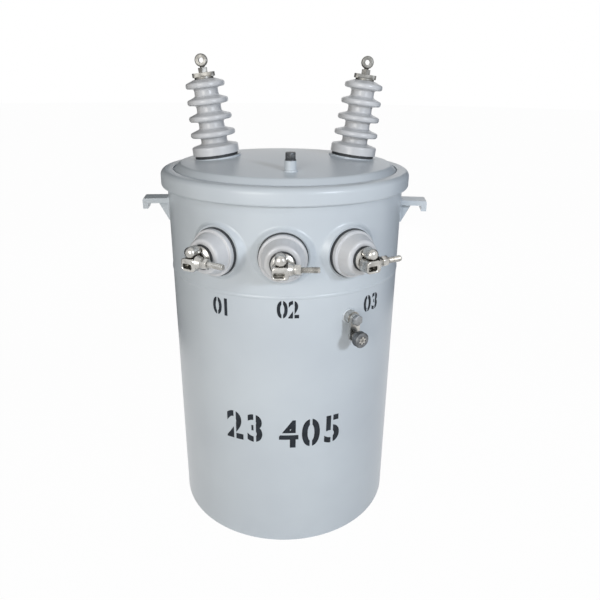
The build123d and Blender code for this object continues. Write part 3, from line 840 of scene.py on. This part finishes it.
# %% Clamps
SEAT_RADIUS, SEAT_HEIGHT = 245.0, 639.0
SCREW_DROP, SCREW_OUT = -2.0, 63.0
SCREW_RADIUS, SCREW_PITCH, SCREW_START, SCREW_END = 5.5, 1.5, 3.0, 62.0
BOSS_END, NUT_END, NUT_FLATS = 19.0, 31.0, 17.0
JAW_BACK, SLOT_FLOOR, JAW_FRONT, JAW_ROUND = 50.0, 57.0, 76.0, 2.2
OVERLAP = 3.0


def clamp_body(number, place):
    """Cast clamp with its stud end and its jaw with a wire slot."""
    shape = bmesh.new()
    foot = [(0, 42), (18.5, 42), (20.5, 43.2), (20.3, 45), (17.5, 47), (14.5, 48), (14, 51), (0, 51)]
    turned(shape, foot)
    jaw = box_outline(-17.5, -17, 11, 5.5, 6, 6)
    slot = box_outline(-14, -12.5, 3.5, -4.5, 2.5, 2.5)
    plate(shape, [jaw, slot], SLOT_FLOOR, JAW_FRONT, JAW_ROUND)
    plate(shape, [jaw], JAW_BACK, SLOT_FLOOR + OVERLAP, JAW_ROUND)
    bar(shape, (-10, -2, JAW_BACK), (5, 16, 67), 2)
    stud = Matrix.Translation((-2.8, 14, 0))
    end = [(0, 50), (9.4, 50), (10.4, 52), (10.4, 68), (9.6, 71), (7.4, 73.4), (4, 74.8), (0, 75.2)]
    turned(shape, end, stud, 48)
    boss = Matrix.Translation((0, SCREW_DROP, SCREW_OUT)) @ ALONG_X
    turned(shape, [(0, 9), (12.5, 9), (11.4, 12), (8.9, 18.2), (8.2, BOSS_END), (0, BOSS_END)], boss, 48)
    return new_piece(f"clamp_body_{number}", shape, place, "tinned_bronze", [f"lv_terminal_{number}"])


def clamp_screw(number, place):
    """Clamp screw with its lock nut and thread."""
    shape = bmesh.new()
    axis = Matrix.Translation((0, SCREW_DROP, SCREW_OUT)) @ ALONG_X
    thread(shape, SCREW_RADIUS, SCREW_PITCH, SCREW_START, SCREW_END, axis)
    hexagon(shape, NUT_FLATS, BOSS_END, NUT_END, axis)
    return new_piece(f"clamp_screw_{number}", shape, place, "tinned_bronze", [f"lv_clamp_screw_{number}"])


for number in (1, 2, 3):
    place = on_wall(azimuth_of(f"lv_gasket_{number}"), SEAT_RADIUS, SEAT_HEIGHT)
    clamp_body(number, place)
    clamp_screw(number, place)

# %% [markdown]
# ## Earthing connector
# A bronze strap is bolted to a boss on the tank. Its free end takes the earth wire under a thick
# round finger screw with a grooved rim and a star in its face, so it can be turned by hand or
# with a key. The grooves could be bump, but they show in the screw's outline, so small blocks
# around the turned head make them. The bolt head is a hexagon with broken edges on a washer.

# %% Bolt
WASHER_RADIUS, WASHER_THICK, WASHER_EDGE = 10.6, 1.7, 0.6


def ground_bolt():
    """Hexagonal bolt head on a washer."""
    low, high = extent("ground_bolt", ground)
    shape = bmesh.new()
    face = extent("ground_clamp", ground)[1].z
    top = face + WASHER_THICK
    hexagon(shape, high.y - low.y, top - 0.1, high.z, chamfer=1.4)
    side = [(WASHER_RADIUS, face), (WASHER_RADIUS, top - 0.5), (WASHER_RADIUS - WASHER_EDGE, top)]
    turned(shape, [(0, face), *side, (0, top)])
    return new_piece("ground_bolt_head", shape, ground, "galvanised_steel", ["ground_bolt"])


ground_bolt()

# %% Finger screw
KNOB_THICK, KNOB_PROUD, TOOTH, TEETH = 16.0, 1.8, 1.5, 24
NECK_RADIUS, NECK_PITCH, NECK_OVERLAP = 8.0, 2.0, 3.0
STAR_RADIUS, STAR_ARM, STAR_TALL, STAR_TURN = 7.5, 4.4, 3.0, 20
HOLLOW_DEEP, HOLLOW_EDGE = 4.0, 0.8
screw_low, screw_high = extent("ground_screw", ground)
screw_middle = Matrix.Translation(((screw_low.x + screw_high.x) / 2, (screw_low.y + screw_high.y) / 2, 0))


def finger_screw():
    """Thick round head with a grooved rim and a hollow face, on a threaded neck."""
    front = screw_high.z
    back = front - KNOB_THICK
    radius = (screw_high.x - screw_low.x) / 2 + KNOB_PROUD
    shape = bmesh.new()
    thread(shape, NECK_RADIUS, NECK_PITCH, screw_low.z, back + NECK_OVERLAP, screw_middle)
    rim = [(0, back), (radius - 2, back), (radius, back + 2), (radius, front - 2.5), (radius - 2.5, front)]
    floor = front - HOLLOW_DEEP
    hollow = [(STAR_RADIUS + HOLLOW_EDGE, front), (STAR_RADIUS, front - HOLLOW_EDGE)]
    turned(shape, rim + hollow + [(STAR_RADIUS, floor), (0, floor)], screw_middle, 72)
    low = Vector((radius - 1, -TOOTH / 2, back + 2.4))
    high = Vector((radius + 0.5, TOOTH / 2, front - 3))
    tooth = Matrix.Translation((low + high) / 2) @ Matrix.Diagonal((*(high - low), 1))
    for step in range(TEETH):
        turn = Matrix.Rotation(2 * math.pi * step / TEETH, 4, "Z")
        bmesh.ops.create_cube(shape, size=1, matrix=screw_middle @ turn @ tooth)
    return new_piece(
        "finger_screw", shape, ground, "galvanised_steel", ["ground_screw"], material=dark_zinc
    )


def key_star():
    """Star with six points for a key, in the hollow of the finger screw."""
    shape = bmesh.new()
    front = screw_high.z
    for step in range(3):
        turn = Matrix.Rotation(math.radians(60 * step + STAR_TURN), 4, "Z")
        middle = Matrix.Translation((0, 0, front - HOLLOW_DEEP + STAR_TALL / 2))
        size = Matrix.Diagonal((2 * STAR_RADIUS, STAR_ARM, STAR_TALL, 1))
        bmesh.ops.create_cube(shape, size=1, matrix=screw_middle @ turn @ middle @ size)
    return new_piece("key_star", shape, ground, "tinned_bronze")


finger_screw()
key_star()

# %% [markdown]
# ## Filler plug
# The filler neck is closed by a pipe plug: a hexagonal head on a narrow round collar. A plug of
# this size could be one CAD solid, but its broken edges catch the light, so it is made again
# here from a turned collar and a hexagon with chamfers.

# %% Pipe plug
PLUG_FLATS = 18.0


def filler_plug():
    """Hexagonal pipe plug over the filler neck."""
    low, high = [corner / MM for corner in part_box("fill_plug")]
    middle = (low + high) / 2
    shape = bmesh.new()
    radius = (high.y - low.y) / 2
    collar = [(0, 0), (radius - 0.5, 0), (radius, 0.6), (radius - 0.4, 2), (0, 2)]
    turned(shape, [(out, low.z + up) for out, up in collar])
    hexagon(shape, PLUG_FLATS, low.z + 1.5, high.z, chamfer=1.3)
    place = Matrix.Scale(MM, 4) @ Matrix.Translation((middle.x, middle.y, 0))
    return new_piece("pipe_plug", shape, place, "galvanised_steel", ["fill_plug"], material=plug_zinc)


filler_plug()

# %% [markdown]
# ## Camera
# The photograph was taken from just below the tops of the bushings, a little over a metre away,
# looking down a little, with a lens somewhat wider than normal. A camera can be aimed by a
# constraint, but three plain angles keep its small tilt as well.

# %% Camera at the photograph's angle
camera_side, camera_distance, camera_height = 0.0188, 1.1975, 0.9353
camera_pitch, camera_yaw, camera_roll = math.radians(21.54), math.radians(0.69), math.radians(0.69)
lens_mm, sensor_mm = 34.25, 36.0


def aim_camera():
    """Camera object with the photograph's place, turn and lens."""
    data = bpy.data.cameras.new("camera")
    data.lens = lens_mm
    data.sensor_width = sensor_mm
    camera = bpy.data.objects.new("camera", data)
    bpy.context.scene.collection.objects.link(camera)
    turn = Matrix.Rotation(-camera_yaw, 4, "Z") @ Matrix.Rotation(math.pi / 2 - camera_pitch, 4, "X")
    camera.matrix_world = (
        Matrix.Translation((camera_side, -camera_distance, camera_height))
        @ turn @ Matrix.Rotation(camera_roll, 4, "Z")
    )
    bpy.context.scene.camera = camera
    return camera


camera = aim_camera()
print("camera at", [round(v, 3) for v in camera.location])

# %% [markdown]
# ## Studio
# The studio has a white floor, a white surround and soft lamps. The camera, and mirrors such as
# bright metal, see the floor and the surround as plain white. A share of the floor's own shading
# keeps the shadow. Dark boards at both sides, out of the camera's sight, give the tank's edges
# something dark to reflect, as a photographer does with black card. A lamp behind lights the
# brackets. It stands low and isn't mirrored, so it doesn't whiten the cover.

# %% Floor
FLOOR_WHITE, FLOOR_RADIUS = 0.98, 20.0


def seen_plainly(tree):
    """Share of rays from the camera, mirrors and glass."""
    path = add(tree, "ShaderNodeLightPath")
    mirror = add(
        tree, "ShaderNodeMath",
        {0: path.outputs["Is Glossy Ray"], 1: path.outputs["Is Transmission Ray"]}, operation="MAXIMUM",
    )
    return add(
        tree, "ShaderNodeMath",
        {0: path.outputs["Is Camera Ray"], 1: mirror.outputs["Value"]}, operation="MAXIMUM",
    ).outputs["Value"]


def staged(name, shape, material):
    """Piece of the studio, which isn't part of the transformer."""
    mesh = bpy.data.meshes.new(name)
    shape.to_mesh(mesh)
    shape.free()
    mesh.materials.append(material)
    thing = bpy.data.objects.new(name, mesh)
    bpy.context.scene.collection.objects.link(thing)
    return thing


def white_floor():
    """Round white floor that keeps a faint shadow."""
    material, tree, output = new_material("white_studio_floor")
    share = add(tree, "ShaderNodeMath", {0: seen_plainly(tree), 1: FLOOR_WHITE}, operation="MULTIPLY")
    shade = add(tree, "ShaderNodeBsdfDiffuse", Color=srgb("DADADA"))
    white = add(tree, "ShaderNodeEmission", Color=srgb("FFFFFF"), Strength=1.0)
    mix = add(
        tree, "ShaderNodeMixShader",
        {0: share.outputs["Value"], 1: shade.outputs["BSDF"], 2: white.outputs["Emission"]},
    )
    tree.links.new(mix.outputs["Shader"], output.inputs["Surface"])
    shape = bmesh.new()
    bmesh.ops.create_circle(shape, cap_ends=True, segments=64, radius=FLOOR_RADIUS)
    return staged("floor", shape, material)


floor = white_floor()
print("floor with", len(floor.data.polygons), "face")

# %% Dark boards
def dark_board(name, azimuth, distance, width, tall):
    """Upright dark board beside the object, hidden from the camera."""
    material, tree, output = new_material(f"{name}_card")
    card = add(tree, "ShaderNodeBsdfDiffuse", Color=srgb("2E3032"))
    tree.links.new(card.outputs["BSDF"], output.inputs["Surface"])
    shape = bmesh.new()
    turn = Matrix.Rotation(math.radians(azimuth), 4, "Z")
    place = turn @ Matrix.Translation((0, -distance, tall / 2)) @ Matrix.Rotation(math.pi / 2, 4, "X")
    size = Matrix.Diagonal((width, tall, 1, 1))
    bmesh.ops.create_grid(shape, x_segments=1, y_segments=1, size=0.5, matrix=place @ size)
    board = staged(name, shape, material)
    board.visible_camera = False
    return board


dark_board("board_left", azimuth=-120, distance=0.95, width=1.4, tall=1.8)
dark_board("board_right", azimuth=128, distance=1.3, width=1.1, tall=1.8)

# %% Surround
def white_surround(strength):
    """World that looks white and lights the object evenly."""
    world = bpy.data.worlds.new("white_surround")
    bpy.context.scene.world = world
    world.use_nodes = True
    tree = world.node_tree
    tree.nodes.clear()
    output = add(tree, "ShaderNodeOutputWorld")
    even = add(tree, "ShaderNodeBackground", Color=srgb("F2F4F6"), Strength=strength)
    seen = add(tree, "ShaderNodeBackground", Color=srgb("FFFFFF"), Strength=1.0)
    mix = add(
        tree, "ShaderNodeMixShader",
        {0: seen_plainly(tree), 1: even.outputs["Background"], 2: seen.outputs["Background"]},
    )
    tree.links.new(mix.outputs["Shader"], output.inputs["Surface"])
    return world


surround = white_surround(strength=0.29)
print("surround", surround.name)

# %% Lamps
LAMP_AIM = Vector((0, 0, 0.6))


def soft_lamp(name, azimuth, elevation, distance, size, power, tint):
    """Square soft box around the object, aimed at its upper half; azimuth 0 is in front."""
    data = bpy.data.lights.new(name, "AREA")
    data.size = size
    data.energy = power
    data.color = srgb(tint)[:3]
    lamp = bpy.data.objects.new(name, data)
    bpy.context.scene.collection.objects.link(lamp)
    turn, lift = math.radians(azimuth), math.radians(elevation)
    away = Vector((math.sin(turn) * math.cos(lift), -math.cos(turn) * math.cos(lift), math.sin(lift)))
    lamp.location = LAMP_AIM + away * distance
    lamp.rotation_euler = away.to_track_quat("Z", "Y").to_euler()
    return lamp


soft_lamp("key", azimuth=39, elevation=19, distance=2.2, size=0.3, power=18.5, tint="ECF4FF")
soft_lamp("fill", azimuth=-25, elevation=12, distance=2.6, size=1.1, power=30.5, tint="FDFAF5")
back = soft_lamp("back", azimuth=180, elevation=3, distance=2.6, size=1.2, power=24, tint="FFFFFF")
back.visible_glossy = False

# %% Colour management
bpy.context.scene.view_settings.view_transform = "Standard"
print("view transform:", bpy.context.scene.view_settings.view_transform)
